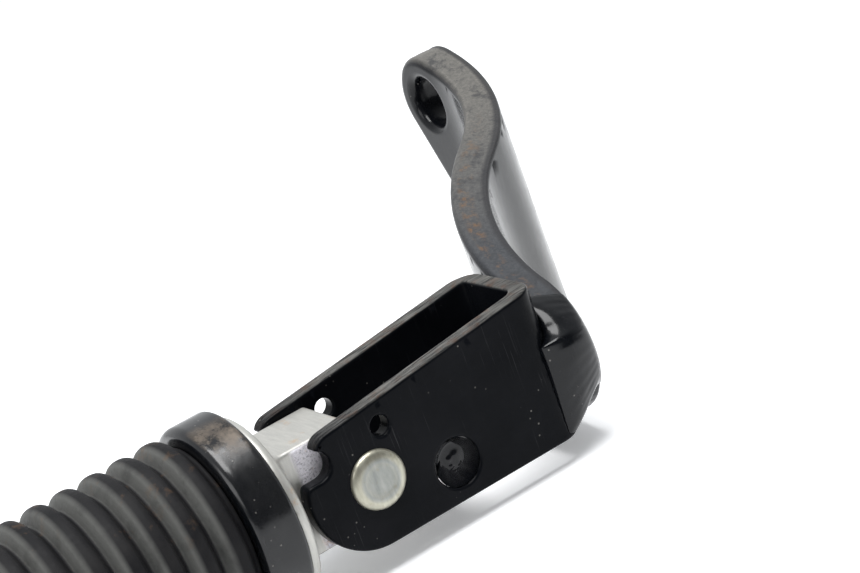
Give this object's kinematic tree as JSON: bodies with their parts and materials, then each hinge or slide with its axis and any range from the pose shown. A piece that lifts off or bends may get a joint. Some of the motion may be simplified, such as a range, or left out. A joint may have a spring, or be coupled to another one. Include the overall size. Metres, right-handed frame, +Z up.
{
  "type": "folding foot peg",
  "caption": "Folding rubber-covered foot peg on a pivot pin in a bent-strip clevis, carried by a joggled plate arm that bolts to a frame.",
  "frame": {"origin": "centre of the arm's bolt hole, on the lug's back face that meets the frame", "axes": "+X outward along the peg and along the bolt hole, +Y along the pivot pin towards its head, +Z up"},
  "size_m": [0.2257, 0.1226, 0.0698],
  "materials": {
    "arm_steel": "thin black paint, worn to grey and rust-streaked on the cut edges",
    "black_paint": "gloss black paint",
    "weld_metal": "gloss black paint over rippled weld",
    "zinc_plate": "dull zinc plate, slightly yellow",
    "spring_steel": "plain spring steel",
    "cast_aluminium": "raw sparkling casting with machined sides",
    "bronze": "plain sintered bronze",
    "black_collar": "satin gloss black",
    "rubber": "matt moulded rubber, dusty"
  },
  "bodies": {
    "bracket": {"arm_plate": "arm_steel", "clevis": "black_paint", "weld_bead_near": "weld_metal", "weld_bead_far": "weld_metal", "stop_pin": "weld_metal", "stop_weld_near": "weld_metal", "stop_weld_far": "weld_metal", "pivot_pin": "zinc_plate", "pin_washer": "zinc_plate", "split_pin": "zinc_plate", "friction_washer_near": "spring_steel", "friction_washer_far": "spring_steel"},
    "peg": {"peg_core": "cast_aluminium", "pivot_bush_near": "bronze", "pivot_bush_far": "bronze", "collar_ring": "black_collar", "rubber_grip": "rubber", "end_washer": "zinc_plate", "lock_washer": "spring_steel", "end_bolt": "zinc_plate"}
  },
  "joints": [
    {"name": "peg_fold", "type": "hinge", "parent": "bracket", "child": "peg", "pos_m": [0.10141, 0.088, -0.0378], "axis": [0, -1, 0], "range_deg": [0, 88]}
  ]
}
